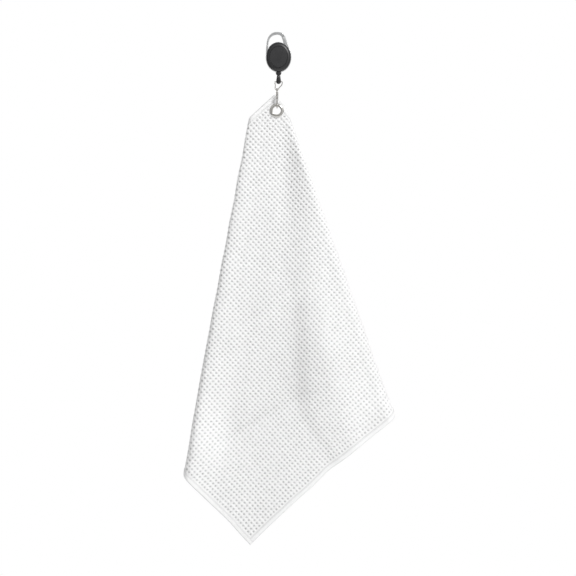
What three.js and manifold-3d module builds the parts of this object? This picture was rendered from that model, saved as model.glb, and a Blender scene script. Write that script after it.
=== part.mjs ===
// A waffle-weave golf towel hanging from a retractable carabiner reel.
// Millimetres, +Z up, the front faces -Y. The origin is where the carabiner's bar rests on whatever
// it is clipped to: the inner apex of the loop. From the top down: a flat die-cast frame with a
// spring gate, an oval plastic reel with a spiral spring and a cord, a moulded cord end, a wire
// ring, a swivelling snap hook, a grommet, and a square towel folded twice behind its front panel.

import * as THREE from 'three';
import { mergeVertices } from 'three/addons/utils/BufferGeometryUtils.js';
import Module from 'manifold-3d';

const wasm = await Module();
wasm.setup();

// ---------------------------------------------------------------- driving dimensions (mm)

const GAP = 0.3;                       // running clearance between neighbouring pieces

// the reel
const REEL_X = 0.6;                    // centre line of the reel, its neck and its cord end
const REEL_Z = -28.7;                  // spool axis
const COVER_HALF_W = 15.95;
const COVER_HALF_H = 18.95;
const COVER_FACE = 5.9;                // from the middle plane to the outside of each cover
const FRAME_T = 3.2;                   // thickness of the die-cast frame
const FRAME_RIM = 0.5;                 // how far the frame shows outside the covers
const FRAME_BORE_R = 13.2;
const CAVITY_R = 12.1;
const CAVITY_FACE = 4.5;
const SPIGOT_R = FRAME_BORE_R - GAP;
const PEG_R = 0.9;
const PEG_HOLE_R = 1.25;
const NECK_SLOT = 7.8;                 // width of the frame's slot for the cord outlet

// the carabiner gate
const GATE_PIVOT = [11.8, -16.6];      // x, z
const GATE_LEAN = -18.3 * Math.PI / 180;
const GATE_LENGTH = 15.2;
const GATE_OPEN = 20;                  // degrees
const GATE_PIN_R = 0.55;
const LIP_START = 9.45;                // where the nose's lip laps over the gate, from the pivot

// the spool
const AXLE_R = 1.3;
const DRUM_R = 7.5;
const FLANGE_R = 11.3;
const SPOOL_HALF_T = 2.6;
const WINDING_R = 9.7;
const CORD_R = 0.4;

// the cord end, the ring and the hook
const END_TOP = -51.9;
const RING_Z = -59.5;                  // the ring's top bar, inside the cord end
const RING_WIRE_R = 0.65;
const HOOK_X = -1.3;                   // swivel axis
const EYE_Z = -70.4;
const HOOK_WIRE_R = 0.85;
const HOOK_BACK = 3.0;
const HOOK_FRONT = -6.0;
const HOOK_BEND_Z = -93.5;             // centre of the wire where it passes through the grommet
const TRIGGER_Z = -79.0;

// the grommet
const GROMMET = [-1.7, -96.9];         // x, z
const GROMMET_R = 8.75;
const GROMMET_HOLE_R = 5.1;

// the towel, laid out flat in the plane of its front panel
const TOWEL_SIDE = 405.5;              // a 16 inch square
const TOWEL_TOP = [-4.8, -76.7];       // the corner that carries the grommet, x, z
const TOWEL_LEAN = 3.1 * Math.PI / 180;
const CLOTH_T = 1.4;
const HEM_T = 2.4;
const HEM_W = 6.0;
const HEM_GAP = 0.7;
const FAN = [-18.7, -12.1];            // the point that both folds and every drape ridge radiate from
const LEFT_FOLD = -10.63 * Math.PI / 180;
const RIGHT_FOLD = 19.45 * Math.PI / 180;
const VALLEY = 3.2 * Math.PI / 180;    // direction of the soft valley down the front panel
const VALLEY_DEPTH = 7;

// ---------------------------------------------------------------- materials

function finish(color, roughness, metalness) {
  return new THREE.MeshStandardMaterial({ color, roughness, metalness });
}

const MATERIALS = {
  castZinc: finish(0xb9bab8, 0.34, 1.0),
  steel: finish(0xa9aaa9, 0.32, 1.0),
  nickel: finish(0xb4b2ac, 0.25, 1.0),
  springSteel: finish(0x8d9096, 0.35, 1.0),
  blackPlastic: finish(0x29292b, 0.42, 0.0),
  blackGloss: finish(0x151516, 0.18, 0.0),
  badge: finish(0x333336, 0.5, 0.0),
  spoolPlastic: finish(0xd8d6cf, 0.45, 0.0),
  cord: finish(0x1c1c1e, 0.7, 0.0),
  cloth: finish(0xf4f4f2, 0.95, 0.0),
  hem: finish(0xeeeeec, 0.85, 0.0),
};

// ---------------------------------------------------------------- making solids

// Merges the shared corners of a geometry and turns its faces outward.
function closed(geometry) {
  const bare = geometry.index ? geometry.clone() : geometry;
  bare.deleteAttribute('normal');
  bare.deleteAttribute('uv');
  const merged = mergeVertices(bare, 1e-4);
  const index = [];
  const source = merged.index.array;
  for (let i = 0; i < source.length; i += 3) {
    const [a, b, c] = [source[i], source[i + 1], source[i + 2]];
    if (a !== b && b !== c && c !== a) index.push(a, b, c);
  }
  merged.setIndex(index);
  const p = merged.attributes.position;
  const [a, b, c] = [new THREE.Vector3(), new THREE.Vector3(), new THREE.Vector3()];
  let volume = 0;
  for (let i = 0; i < index.length; i += 3) {
    a.fromBufferAttribute(p, index[i]);
    b.fromBufferAttribute(p, index[i + 1]);
    c.fromBufferAttribute(p, index[i + 2]);
    volume += a.dot(b.cross(c));
  }
  if (volume < 0) {
    for (let i = 0; i < index.length; i += 3) [index[i], index[i + 1]] = [index[i + 1], index[i]];
    merged.setIndex(index);
  }
  return merged;
}

function toManifold(geometry) {
  if (geometry.userData.solid) return geometry.userData.solid;
  const g = closed(geometry);
  const mesh = new wasm.Mesh({
    numProp: 3,
    vertProperties: new Float32Array(g.attributes.position.array),
    triVerts: new Uint32Array(g.index.array),
  });
  return new wasm.Manifold(mesh);
}

function fromManifold(solid) {
  const mesh = solid.getMesh();
  const g = new THREE.BufferGeometry();
  g.setAttribute('position', new THREE.BufferAttribute(new Float32Array(mesh.vertProperties), 3));
  g.setIndex([...mesh.triVerts]);
  g.userData.solid = solid;
  return g;
}

// Joins every geometry in add, then cuts every geometry in cut.
function carve(add, cut = []) {
  let solid = toManifold(add[0]);
  for (const g of add.slice(1)) solid = solid.add(toManifold(g));
  for (const g of cut) solid = solid.subtract(toManifold(g));
  return fromManifold(solid);
}

// A profile of [radius, height] turned about the Y axis. One that stands off the axis closes on itself.
function turned(profile, segments = 32) {
  const points = profile.map(([r, y]) => new THREE.Vector2(r, y));
  if (profile[0][0] > 0) points.push(points[0].clone());
  return new THREE.LatheGeometry(points, segments);
}

// The same about a vertical axis through x: heights are along Z.
function turnedUpright(profile, x, segments = 20) {
  return turned(profile, segments).rotateX(Math.PI / 2).translate(x, 0, 0);
}

// A plain disc or tube about a line along Y through (x, z), from y0 to y1.
function drum(r, y0, y1, x, z, segments = 24) {
  return turned([[0, y0], [r, y0], [r, y1], [0, y1]], segments).translate(x, 0, z);
}

// A disc about a line along X.
function wheel(r, x0, x1, y, z, segments = 20) {
  return turned([[0, x0], [r, x0], [r, x1], [0, x1]], segments).rotateZ(-Math.PI / 2)
    .translate(0, y, z);
}

function block(x0, x1, y0, y1, z0, z1) {
  return new THREE.BoxGeometry(x1 - x0, y1 - y0, z1 - z0)
    .translate((x0 + x1) / 2, (y0 + y1) / 2, (z0 + z1) / 2);
}

// A flat shape drawn in x, z and given a thickness centred on y = 0, with softened edges.
function plate(shape, thickness, bevel = 0, curveSegments = 12) {
  const g = new THREE.ExtrudeGeometry(shape, {
    depth: thickness - 2 * bevel,
    bevelEnabled: bevel > 0,
    bevelThickness: bevel,
    bevelSize: bevel,
    bevelOffset: -bevel,
    bevelSegments: 1,
    curveSegments,
  });
  return g.translate(0, 0, -thickness / 2 + bevel).rotateX(Math.PI / 2);
}

// A round rod along a curve.
function rod(curve, radius, sides, steps) {
  const section = new THREE.Shape();
  for (let i = 0; i < sides; i += 1) {
    const t = (2 * Math.PI * i) / sides;
    if (i === 0) section.moveTo(radius, 0);
    else section.lineTo(radius * Math.cos(t), radius * Math.sin(t));
  }
  return new THREE.ExtrudeGeometry(section, { steps, extrudePath: curve, bevelEnabled: false });
}

function smooth(points) {
  return new THREE.CatmullRomCurve3(points.map((p) => new THREE.Vector3(...p)), false, 'centripetal');
}

function part(name, geometry, material) {
  const mesh = new THREE.Mesh(closed(geometry), material);
  mesh.name = name;
  return mesh;
}

// ---------------------------------------------------------------- carabiner frame and gate

// The gate's outline in its own frame: X across, outward positive, and Y from the pivot to the tip.
function gateOutline(grow = 0) {
  const outer = 1.9 + grow;
  const lap = 0.35 + grow;
  const shape = new THREE.Shape();
  shape.moveTo(outer, 0);
  shape.lineTo(outer, LIP_START + grow);
  shape.lineTo(lap, LIP_START + grow);
  shape.lineTo(lap, GATE_LENGTH + grow);
  shape.lineTo(-2.6 - grow, GATE_LENGTH + grow);
  shape.lineTo(-2.6 - grow, 7);
  shape.lineTo(-outer, 2.5);
  shape.lineTo(-outer, 0);
  shape.absarc(0, 0, outer, Math.PI, 2 * Math.PI, false);
  return shape;
}

function onGate(geometry, opened = 0) {
  return geometry.rotateY(GATE_LEAN - opened * Math.PI / 180)
    .translate(GATE_PIVOT[0], 0, GATE_PIVOT[1]);
}

// The bar of the loop, from the left flank over the top to the nose and the lip outside the gate.
function loopOutline() {
  const along = (u, v) => [
    GATE_PIVOT[0] + u * Math.sin(GATE_LEAN) + v * Math.cos(GATE_LEAN),
    GATE_PIVOT[1] + u * Math.cos(GATE_LEAN) - v * Math.sin(GATE_LEAN),
  ];
  const vectors = (list) => list.map(([x, z]) => new THREE.Vector2(x, z));
  const noseFace = GATE_LENGTH + 0.35;
  const shape = new THREE.Shape();
  shape.moveTo(-15.6, -27);
  shape.splineThru(vectors([
    [-15.5, -21], [-15.1, -15], [-14.3, -8.6], [-12.8, -3.9], [-10.0, 0.1], [-6.6, 2.5],
    [-2.8, 3.4], [1.2, 3.4], [4.8, 2.4], [7.2, 0.6], along(noseFace, 1.9),
  ]));
  shape.lineTo(...along(LIP_START + 0.35, 1.9));
  shape.lineTo(...along(LIP_START + 0.35, 0.75));
  shape.lineTo(...along(noseFace, 0.75));
  shape.lineTo(...along(noseFace, -2.6));
  shape.splineThru(vectors([
    [2.6, -0.7], [-0.6, 0], [-4.2, -0.3], [-7.8, -1.8], [-10.5, -4.9], [-12.0, -9.2], [-12.8, -15],
    [-13.1, -21], [-12.6, -27],
  ]));
  return shape;
}

function pegPlaces() {
  return [[REEL_X, REEL_Z + 16.2], [REEL_X - 7.2, REEL_Z - 14], [REEL_X + 7.2, REEL_Z - 14]];
}

function carabinerFrame() {
  const body = new THREE.Shape();
  const halfW = COVER_HALF_W + FRAME_RIM;
  const halfH = COVER_HALF_H + FRAME_RIM;
  body.absellipse(REEL_X, REEL_Z, halfW, halfH, 0, 2 * Math.PI);
  const cuts = [
    drum(FRAME_BORE_R, -FRAME_T, FRAME_T, REEL_X, REEL_Z, 32),
    block(REEL_X - NECK_SLOT / 2, REEL_X + NECK_SLOT / 2, -3, 3, -52, -38),
  ];
  for (const [x, z] of pegPlaces()) cuts.push(drum(PEG_HOLE_R, -3, 3, x, z, 16));
  for (let opened = 0; opened <= GATE_OPEN; opened += 5) {
    cuts.push(onGate(plate(gateOutline(0.35), FRAME_T + 2), opened));
  }
  const pierced = carve([plate(body, FRAME_T, 0.4, 16), plate(loopOutline(), FRAME_T, 0.3, 6)], cuts);
  const root = [14.0, -22.4];
  const across = [1.1, 0.45];
  const web = new THREE.Shape();
  web.moveTo(GATE_PIVOT[0] - across[0], GATE_PIVOT[1] - across[1]);
  web.lineTo(GATE_PIVOT[0] + across[0], GATE_PIVOT[1] + across[1]);
  web.lineTo(root[0] + across[0], root[1] + across[1]);
  web.lineTo(root[0] - across[0], root[1] - across[1]);
  const tongue = drum(1.7, -0.6, 0.6, ...GATE_PIVOT, 20);
  return carve([pierced, plate(web, 1.2), tongue], [
    drum(GATE_PIN_R + GAP, -2, 2, ...GATE_PIVOT, 16),
  ]);
}

function carabinerGate() {
  return carve([onGate(plate(gateOutline(), FRAME_T, 0.3, 6))], [
    onGate(block(-3, 3, -0.9, 0.9, -3, 2.35)),
    onGate(block(-1.05, 1.05, -0.95, 0.95, 2, 8.5)),
    drum(GATE_PIN_R + GAP, -2, 2, ...GATE_PIVOT, 16),
  ]);
}

function gateSpring() {
  const turns = 5;
  const points = [];
  for (let i = 0; i <= turns * 8; i += 1) {
    const t = (2 * Math.PI * i) / 8;
    points.push([0.6 * Math.cos(t), 0.6 * Math.sin(t), 2.9 + (5.1 * i) / (turns * 8)]);
  }
  return onGate(rod(smooth(points), 0.15, 5, turns * 8));
}

// ---------------------------------------------------------------- reel

// An oval lid: the profile is turned and then narrowed to the oval. side is -1 front, +1 back.
function cover(side, recess) {
  const profile = [
    [0, COVER_FACE - recess], [13.7, COVER_FACE - recess], [13.7, COVER_FACE], [14.7, COVER_FACE],
    [15.1, 5.75], [16.4, 5.35], [17.6, 4.65], [18.5, 3.6], [COVER_HALF_H, 2.4],
    [COVER_HALF_H, FRAME_T / 2 + GAP], [0, FRAME_T / 2 + GAP],
  ];
  const toSide = (g) => (side < 0 ? g.rotateX(Math.PI) : g);
  const oval = toSide(turned(profile, 36)).scale(COVER_HALF_W / COVER_HALF_H, 1, 1)
    .translate(REEL_X, 0, REEL_Z);
  const spigot = turned([[CAVITY_R, 2.2], [SPIGOT_R, 2.2], [SPIGOT_R, 0.15], [CAVITY_R, 0.15]], 32);
  const bearing = turned([
    [AXLE_R + 0.35, 4.6], [AXLE_R + 0.35, 3.6], [2.3, 3.6], [2.3, 4.6],
  ], 20);
  const cavity = drum(CAVITY_R, 0.1, CAVITY_FACE, 0, 0, 32);
  const lid = carve([oval, toSide(spigot).translate(REEL_X, 0, REEL_Z)], [
    toSide(cavity).translate(REEL_X, 0, REEL_Z),
    block(REEL_X - 3.9, REEL_X + 3.9, Math.min(0, side * 3.9), Math.max(0, side * 3.9), -46.5, -39),
    block(REEL_X, REEL_X + 5.8, -1, 1, -43.4, -38.5),
    turnedUpright([[0, -49], [2.95, -49], [2.95, -46], [0, -46]], REEL_X, 20),
  ]);
  const bossed = [lid, toSide(bearing).translate(REEL_X, 0, REEL_Z)];
  if (side > 0) {
    for (const [x, z] of pegPlaces()) bossed.push(drum(PEG_R, -3.4, 2.2, x, z, 12));
    return carve(bossed);
  }
  return carve(bossed, pegPlaces().map(([x, z]) => drum(PEG_HOLE_R, -3.8, -1, x, z, 16)));
}

// The blank oval plate glued into the front cover's recess.
function faceBadge() {
  const profile = [[0, -5.65], [13.2, -5.65], [13.35, -6.0], [13.0, -6.2], [0, -6.25]];
  return turned(profile, 32).scale(COVER_HALF_W / COVER_HALF_H, 1, 1).translate(REEL_X, 0, REEL_Z);
}

function spool() {
  const bore = AXLE_R + 0.35;
  const hubEnd = SPOOL_HALF_T + 0.6;
  const groove = SPOOL_HALF_T - 0.6;
  return turned([
    [bore, groove], [DRUM_R, groove], [DRUM_R, -SPOOL_HALF_T], [FLANGE_R, -SPOOL_HALF_T],
    [FLANGE_R, -groove], [8.2, -groove], [8.2, groove], [FLANGE_R, groove],
    [FLANGE_R, SPOOL_HALF_T], [2.3, SPOOL_HALF_T], [2.3, hubEnd], [bore, hubEnd],
  ], 28).translate(REEL_X, 0, REEL_Z);
}

// Four turns of cord side by side, wound in layers: a ribbed ring in the spool's groove.
function cordWinding() {
  const profile = [[8.5, -1.7]];
  for (let turn = 0; turn < 4; turn += 1) {
    const y = -1.7 + turn * 0.85;
    profile.push([WINDING_R, y + 0.15], [WINDING_R + 0.2, y + 0.425], [WINDING_R, y + 0.7]);
  }
  profile.push([8.5, 1.7]);
  return turned(profile, 24).translate(REEL_X, 0, REEL_Z);
}

// A flat steel ribbon wound from the axle out to the wall of the drum.
function mainspring() {
  const turns = 5;
  const perTurn = 14;
  const steps = turns * perTurn;
  const radius = (i) => AXLE_R + 0.5 + ((DRUM_R - 0.6 - AXLE_R - 0.5) * i) / steps;
  const shape = new THREE.Shape();
  const at = (i, offset) => {
    const t = (2 * Math.PI * i) / perTurn;
    return [(radius(i) + offset) * Math.cos(t), (radius(i) + offset) * Math.sin(t)];
  };
  shape.moveTo(...at(0, 0.1));
  for (let i = 1; i <= steps; i += 1) shape.lineTo(...at(i, 0.1));
  for (let i = steps; i >= 0; i -= 1) shape.lineTo(...at(i, -0.1));
  return plate(shape, 3.6).translate(REEL_X, -0.3, REEL_Z);
}

function spoolAxle() {
  const pin = turned([
    [0, -4.2], [AXLE_R - 0.2, -4.2], [AXLE_R, -4.0], [AXLE_R, 4.0], [AXLE_R - 0.2, 4.2], [0, 4.2],
  ], 20).translate(REEL_X, 0, REEL_Z);
  return carve([pin], [block(REEL_X - 0.25, REEL_X + 0.25, -2.2, 1.6, REEL_Z - 2, REEL_Z + 2)]);
}

function cordOutlet() {
  return turnedUpright([
    [1.0, -44.6], [3.5, -44.6], [3.5, -46.1], [2.6, -46.1], [2.6, -47.95], [3.75, -47.95],
    [3.75, -48.7], [2.75, -51.6], [1.0, -51.6],
  ], REEL_X, 24);
}

// From the side of the winding to the outlet, then straight down into the cord end.
function cordLead() {
  const wrap = WINDING_R + 0.2 + CORD_R + GAP;
  const drop = REEL_Z + 44.7;
  const swing = Math.acos(wrap / drop);
  const leave = [REEL_X + wrap * Math.sin(swing), 0, REEL_Z - wrap * Math.cos(swing)];
  const mouth = [REEL_X + 0.15, 0, -44.9];
  const mid = leave.map((value, i) => (value + mouth[i]) / 2);
  return rod(smooth([
    leave, mid, mouth, [REEL_X, 0, -46.2], [REEL_X, 0, -49], [REEL_X, 0, -54.7],
  ]), CORD_R, 8, 28);
}

// ---------------------------------------------------------------- cord end, ring and swivel

function cordEnd() {
  const drop = turnedUpright([
    [0, -63.1], [1.3, -62.85], [2.4, -62.1], [3.05, -61], [3.2, -59.8], [3.0, -57.8], [2.6, -55],
    [2.3, -52.7], [1.95, END_TOP], [0.85, END_TOP], [0.85, -54.6], [1.6, -55.2], [1.6, -57.4],
    [0, -57.4],
  ], REEL_X, 24);
  return carve([drop], [wheel(1.1, -4, 4, 0, RING_Z, 16).translate(REEL_X, 0, 0)]);
}

function cordKnot() {
  return new THREE.IcosahedronGeometry(1.2, 2).scale(1, 1, 0.95).translate(REEL_X, 0, -56.25);
}

// A closed loop of wire: straight top bar, round shoulders, converging sides and a narrow round foot.
function swivelRing() {
  const [topX, footX] = [REEL_X + 0.05, HOOK_X];
  const points = [
    [topX - 3.2, RING_Z], [topX, RING_Z], [topX + 3.2, RING_Z], [topX + 4.3, RING_Z - 0.4],
    [topX + 4.7, RING_Z - 1.5], [topX + 4.1, -64], [footX + 2.3, -68.4], [footX + 1.9, -69.8],
    [footX + 1.1, EYE_Z], [footX, EYE_Z], [footX - 1.1, EYE_Z], [footX - 1.9, -69.8],
    [footX - 2.3, -68.4], [topX - 4.3, -64], [topX - 4.7, RING_Z - 1.5], [topX - 4.3, RING_Z - 0.4],
  ];
  const centre = new THREE.CatmullRomCurve3(
    points.map(([x, z]) => new THREE.Vector3(x, 0, z)), true, 'centripetal',
  );
  return new THREE.TubeGeometry(centre, 44, RING_WIRE_R, 6, true);
}

// An eye on the ring, and a headed post that the hook's collar turns on.
function swivelEye() {
  return carve([
    wheel(2.0, -1.1, 1.1, 0, EYE_Z, 24).translate(HOOK_X, 0, 0),
    turnedUpright([
      [0, -78.2], [0.9, -78.2], [1.25, -77.9], [1.25, -77.4], [0.75, -77.4], [0.75, -71.8], [0, -71.8],
    ], HOOK_X, 16),
  ], [wheel(1.0, -2, 2, 0, EYE_Z, 16).translate(HOOK_X, 0, 0)]);
}

// ---------------------------------------------------------------- snap hook

function snapHook() {
  const collar = turnedUpright([
    [0, -77.1], [1.5, -77.1], [1.6, -76.6], [1.6, -73.6], [1.45, -73.0], [0, -73.0],
  ], HOOK_X, 20);
  const bend = HOOK_BACK;
  const points = [[1.2, -75.2], [2.2, -76.3], [2.85, -78.2], [HOOK_BACK, -80.4], [HOOK_BACK, -85],
    [HOOK_BACK, HOOK_BEND_Z + bend]];
  for (let i = 1; i <= 4; i += 1) {
    const t = (Math.PI * i) / 8;
    points.push([bend * Math.cos(t), HOOK_BEND_Z + bend - bend * Math.sin(t)]);
  }
  for (let i = 0; i <= 4; i += 1) {
    const t = (Math.PI * i) / 8;
    points.push([HOOK_FRONT + bend - bend * Math.sin(t), HOOK_BEND_Z + bend - bend * Math.cos(t)]);
  }
  points.push([HOOK_FRONT, -88.9]);
  const bar = rod(smooth(points.map(([y, z]) => [HOOK_X, y, z])), HOOK_WIRE_R, 8, 30);
  const shoulder = rod(smooth([
    [HOOK_X, -1.2, -75.2], [HOOK_X, -2.8, -76.0], [HOOK_X, -4.6, -76.9],
  ]), HOOK_WIRE_R, 8, 4);
  const lug = wheel(1.3, -0.75, 0, HOOK_FRONT, TRIGGER_Z, 18).translate(HOOK_X, 0, 0);
  const web = block(HOOK_X - 0.75, HOOK_X, -6.5, -4.0, -78.6, -76.5);
  return carve([collar, bar, shoulder, lug, web], [
    turnedUpright([[0, -78], [1.1, -78], [1.1, -72], [0, -72]], HOOK_X, 20),
    wheel(0.7, -2, 2, HOOK_FRONT, TRIGGER_Z, 14).translate(HOOK_X, 0, 0),
  ]);
}

// The gate of the hook: a fork on the pin, and a flat finger down to the hook's tip.
function hookGate() {
  const [front, back] = [HOOK_FRONT - 0.65, HOOK_FRONT + 0.65];
  return carve([
    wheel(1.5, -1.6, 1.6, HOOK_FRONT, TRIGGER_Z, 20).translate(HOOK_X, 0, 0),
    block(HOOK_X - 1.6, HOOK_X + 1.6, front, back, -82.4, TRIGGER_Z),
    block(HOOK_X - 0.85, HOOK_X + 0.85, front, back, -88.5, -82),
  ], [
    block(HOOK_X - 1.05, HOOK_X + 1.05, -9, -3, -80.75, -76),
    wheel(0.7, -2, 2, HOOK_FRONT, TRIGGER_Z, 14).translate(HOOK_X, 0, 0),
  ]);
}

function hookGatePin() {
  return wheel(0.4, -1.6, 1.6, HOOK_FRONT, TRIGGER_Z, 14).translate(HOOK_X, 0, 0);
}

function hookSpring() {
  const points = [];
  for (let i = 0; i <= 12; i += 1) {
    const t = (2 * Math.PI * i) / 10;
    const r = 0.78 + 0.03 * i;
    points.push([HOOK_X + 0.55, HOOK_FRONT + r * Math.cos(t), TRIGGER_Z + r * Math.sin(t)]);
  }
  return rod(smooth(points), 0.12, 5, 30);
}

// ---------------------------------------------------------------- grommet

function grommetEyelet() {
  const hole = GROMMET_HOLE_R;
  return turned([
    [hole, 1.7], [hole, -1.5], [hole + 0.5, -1.8], [hole + 2.2, -1.85], [GROMMET_R - 0.5, -1.5],
    [GROMMET_R, -1.0], [hole + 0.5, -1.0], [hole + 0.5, 1.3], [hole + 1.5, 1.3], [hole + 1.5, 1.55],
    [hole + 0.9, 1.7],
  ], 24).translate(GROMMET[0], 0, GROMMET[1]);
}

function grommetWasher() {
  return turned([
    [5.95, 1.2], [5.95, 1.0], [GROMMET_R, 1.0], [GROMMET_R - 0.3, 1.25],
  ], 24).translate(GROMMET[0], 0, GROMMET[1]);
}

// ---------------------------------------------------------------- towel

// The square's own axes on the flat sheet: down its diagonal, and along its two upper hems.
const DOWN = -Math.PI / 2 - TOWEL_LEAN;
const LEFT_DOWN = [Math.cos(DOWN - Math.PI / 4), Math.sin(DOWN - Math.PI / 4)];
const RIGHT_DOWN = [Math.cos(DOWN + Math.PI / 4), Math.sin(DOWN + Math.PI / 4)];

// A point of the flat sheet: a along the upper left hem, b along the upper right one, both in mm.
function flat(a, b) {
  return [
    TOWEL_TOP[0] + a * LEFT_DOWN[0] + b * RIGHT_DOWN[0],
    TOWEL_TOP[1] + a * LEFT_DOWN[1] + b * RIGHT_DOWN[1],
  ];
}

// How the sheet hangs: every ray from FAN stays straight, and the sheet turns back on itself round
// a growing radius at each of the two folds.
function hang([x, z]) {
  const far = Math.hypot(x - FAN[0], z - FAN[1]);
  const bearing = Math.atan2(x - FAN[0], FAN[1] - z);
  const leftR = (2.2 + 0.011 * Math.max(0, far - 90)) / far;
  const rightR = (3.9 + 0.022 * Math.max(0, far - 90)) / far;
  let angle = bearing;
  let depth = 0;
  for (const [side, fold, r] of [[-1, LEFT_FOLD, leftR], [1, RIGHT_FOLD, rightR]]) {
    const past = side * (bearing - fold) + r;
    if (past > 0) {
      const turn = Math.min(past / r, Math.PI);
      const straight = Math.max(0, past - Math.PI * r);
      angle = fold + side * (r * Math.sin(turn) - r - straight);
      depth = r * (1 - Math.cos(turn));
    }
  }
  const grow = Math.min(1, Math.max(0, (far - 115) / 360));
  const ripple = VALLEY_DEPTH * grow * Math.cos((angle - VALLEY) * 12.5);
  return new THREE.Vector3(
    FAN[0] + far * Math.sin(angle), depth * far + ripple, FAN[1] - far * Math.cos(angle),
  );
}

// The hung sheet's point at flat coordinates p, moved by off along the sheet's back-facing normal.
function offSheet(p, off) {
  const step = 0.05;
  const here = hang(p);
  const alongX = hang([p[0] + step, p[1]]).sub(here);
  const alongZ = hang([p[0], p[1] + step]).sub(here);
  return here.addScaledVector(alongZ.cross(alongX).normalize(), -off);
}

// A closed slab from a grid of flat points: rows of equal length, thick on both sides of the sheet.
function slab(rows, thickness) {
  const wide = rows[0].length;
  const high = rows.length;
  const positions = [];
  for (const off of [-thickness / 2, thickness / 2]) {
    for (const row of rows) for (const p of row) positions.push(...offSheet(p, off).toArray());
  }
  const back = wide * high;
  const index = [];
  const quad = (a, b, c, d) => index.push(a, b, c, a, c, d);
  for (let i = 0; i + 1 < high; i += 1) {
    for (let j = 0; j + 1 < wide; j += 1) {
      const [a, b, c, d] = [i * wide + j, i * wide + j + 1, (i + 1) * wide + j + 1, (i + 1) * wide + j];
      quad(a, b, c, d);
      quad(back + a, back + d, back + c, back + b);
    }
  }
  const rim = [];
  for (let j = 0; j < wide; j += 1) rim.push(j);
  for (let i = 1; i < high; i += 1) rim.push(i * wide + wide - 1);
  for (let j = wide - 2; j >= 0; j -= 1) rim.push((high - 1) * wide + j);
  for (let i = high - 2; i > 0; i -= 1) rim.push(i * wide);
  rim.forEach((here, k) => {
    const next = rim[(k + 1) % rim.length];
    quad(here, back + here, back + next, next);
  });
  const g = new THREE.BufferGeometry();
  g.setAttribute('position', new THREE.Float32BufferAttribute(positions, 3));
  g.setIndex(index);
  return g;
}

// The bearings at which the sheet is cut into columns: close together round the two folds.
function columns(first, last) {
  const list = [];
  const spread = (from, to, count) => {
    for (let i = 0; i < count; i += 1) list.push(from + ((to - from) * i) / count);
  };
  const [l, r] = [LEFT_FOLD, RIGHT_FOLD];
  spread(first, l - 0.05, 5);
  spread(l - 0.05, l + 0.03, 7);
  spread(l + 0.03, r - 0.05, 8);
  spread(r - 0.05, r + 0.09, 9);
  spread(r + 0.09, last, 3);
  list.push(last);
  return list;
}

// Where the ray from FAN at a bearing crosses the line through p along d, both on the flat sheet.
function crossing(bearing, p, d) {
  const ray = [Math.sin(bearing), -Math.cos(bearing)];
  const det = ray[0] * d[1] - ray[1] * d[0];
  const far = ((p[0] - FAN[0]) * d[1] - (p[1] - FAN[1]) * d[0]) / det;
  return [FAN[0] + far * ray[0], FAN[1] + far * ray[1]];
}

function bearingOf([x, z]) {
  return Math.atan2(x - FAN[0], FAN[1] - z);
}

// The woven panel inside the hems, with a round hole for the grommet.
function towelCloth() {
  const inset = HEM_W + HEM_GAP;
  const end = TOWEL_SIDE - inset;
  const corners = { top: flat(inset, inset), left: flat(end, inset), right: flat(inset, end),
    foot: flat(end, end) };
  const trim = 0.004;
  const bearings = columns(bearingOf(corners.left) + trim, bearingOf(corners.right) - trim);
  for (const special of [bearingOf(corners.top), bearingOf(corners.foot)]) {
    let nearest = 0;
    bearings.forEach((value, i) => {
      if (Math.abs(value - special) < Math.abs(bearings[nearest] - special)) nearest = i;
    });
    bearings[nearest] = special;
  }
  const rowCount = 14;
  const rows = [];
  for (let i = 0; i <= rowCount; i += 1) {
    rows.push(bearings.map((bearing) => {
      const onLeft = bearing < bearingOf(corners.top);
      const start = crossing(bearing, corners.top, onLeft ? LEFT_DOWN : RIGHT_DOWN);
      const leftOfFoot = bearing < bearingOf(corners.foot);
      const stop = crossing(bearing, corners.foot, leftOfFoot ? RIGHT_DOWN : LEFT_DOWN);
      const t = i / rowCount;
      return [start[0] + (stop[0] - start[0]) * t, start[1] + (stop[1] - start[1]) * t];
    }));
  }
  return carve([slab(rows, CLOTH_T)], [drum(5.95, -3, 3, GROMMET[0], GROMMET[1], 32)]);
}

// One strip of hem tape along an edge. place(t, w) gives the flat point t along and w in from it.
function hemStrip(place) {
  const corner = 0.35;
  const stations = [];
  const folds = [LEFT_FOLD, RIGHT_FOLD].map((fold) => {
    let best = 0;
    for (let t = 0; t <= TOWEL_SIDE; t += 1) {
      const here = Math.abs(bearingOf(place(t, 0)) - fold);
      if (here < Math.abs(bearingOf(place(best, 0)) - fold)) best = t;
    }
    return best;
  });
  let t = HEM_W + 4;
  while (t < TOWEL_SIDE - HEM_W - 4) {
    stations.push(t);
    const near = Math.min(...folds.map((fold) => Math.abs(fold - t)));
    t += near < 45 ? Math.max(1.6, near * 0.22) : 13;
  }
  const rows = [0, HEM_W].map((w) => [
    place(corner + w, w), ...stations.map((s) => place(s, w)), place(TOWEL_SIDE - corner - w, w),
  ]);
  return slab(rows, HEM_T);
}

// The upper right hem runs close by the grommet, whose flange presses into it.
function hemTopRight() {
  return carve([hemStrip((t, w) => flat(w, t))], [drum(GROMMET_R + 0.35, -4, 4, ...GROMMET, 32)]);
}

// ---------------------------------------------------------------- the assembly

const M = MATERIALS;
const reel = new THREE.Group();
reel.add(
  part('carabiner_frame', carabinerFrame(), M.castZinc),
  part('front_cover', cover(-1, 0.6), M.blackPlastic),
  part('back_cover', cover(1, 0), M.blackPlastic),
  part('face_badge', faceBadge(), M.badge),
  part('spool_axle', spoolAxle(), M.steel),
  part('mainspring', mainspring(), M.springSteel),
  part('cord_outlet', cordOutlet(), M.blackPlastic),
  part('cord_lead', cordLead(), M.cord),
  part('gate_pin', drum(GATE_PIN_R, -1.55, 1.55, ...GATE_PIVOT, 14), M.steel),
);

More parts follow.
